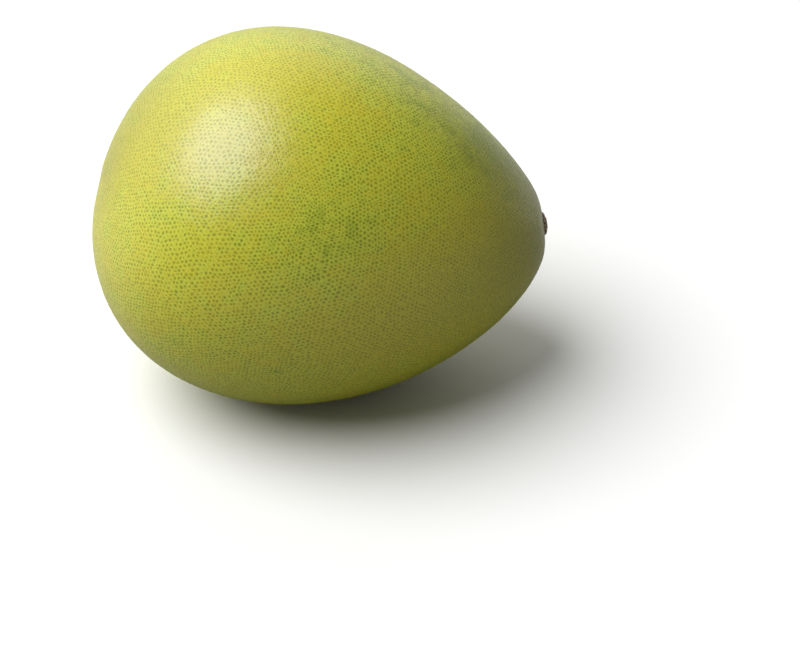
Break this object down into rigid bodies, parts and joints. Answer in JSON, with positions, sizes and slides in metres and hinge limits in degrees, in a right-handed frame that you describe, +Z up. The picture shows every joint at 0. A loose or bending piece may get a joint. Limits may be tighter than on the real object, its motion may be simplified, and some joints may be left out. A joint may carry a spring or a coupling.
{
  "type": "pomelo",
  "caption": "Whole pear-shaped pomelo with a dotted yellow-green rind and a woody stem button, lying on its side on a small flat spot.",
  "frame": {"origin": "middle of the bounding box's base, on the surface the fruit lies on", "axes": "+X along the fruit from the broad blossom end to the narrow stem end, +Z up; the fruit is symmetric about the XZ plane"},
  "size_m": [0.1812, 0.1486, 0.1481],
  "materials": {
    "rind": "waxy citrus rind, yellow-green with fine darker oil glands; leather stands in for the rind",
    "calyx_wood": "dry dark brown woody calyx, rough",
    "cut_stalk": "dry cut end of the stalk, matte grey-brown"
  },
  "bodies": {
    "root": {"fruit": "rind", "calyx": "calyx_wood", "stem_stub": "cut_stalk"}
  },
  "joints": []
}
